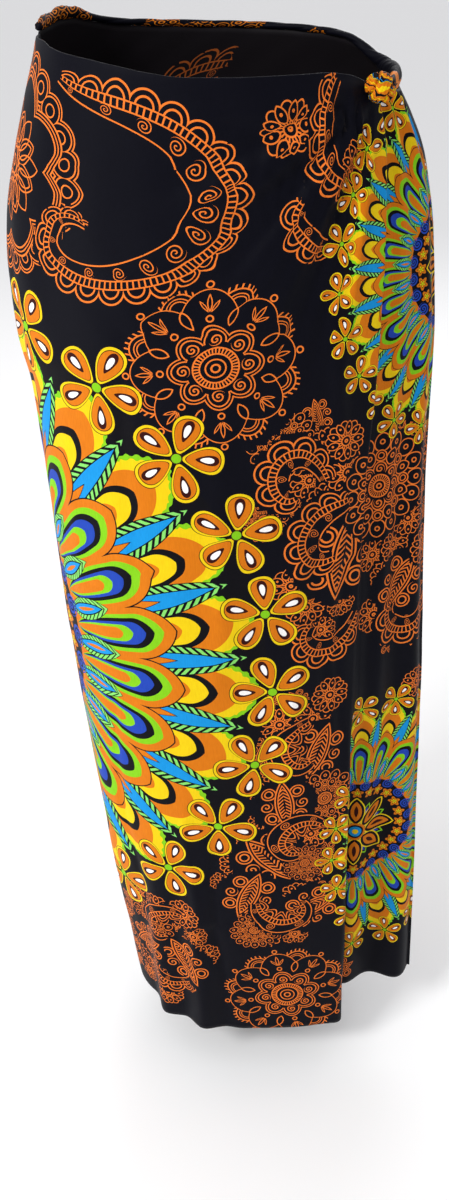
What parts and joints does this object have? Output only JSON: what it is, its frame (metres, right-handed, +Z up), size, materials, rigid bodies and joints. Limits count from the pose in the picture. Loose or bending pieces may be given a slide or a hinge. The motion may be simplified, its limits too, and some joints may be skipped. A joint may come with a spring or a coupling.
{
  "type": "sarong",
  "caption": "Long wrap-around skirt of one printed length of cloth, tied in a knot at one hip, with a hanging end beside a deep pleat.",
  "frame": {"origin": "middle of the waist opening, level with the mean height of the waist edge", "axes": "+Z up the wearer's body, front towards -Y, the wearer's left hip and the knot towards +X"},
  "size_m": [0.3844, 0.2632, 1.0299],
  "materials": {
    "printed_cloth": "soft matt woven rayon, printed on near-black",
    "knot_cloth": "the same cloth where its orange print shows in the knot"
  },
  "bodies": {
    "root": {"front_wrap": "printed_cloth", "hanging_end": "printed_cloth", "back_wrap": "printed_cloth", "waist_roll": "printed_cloth", "knot": "knot_cloth"}
  },
  "joints": []
}
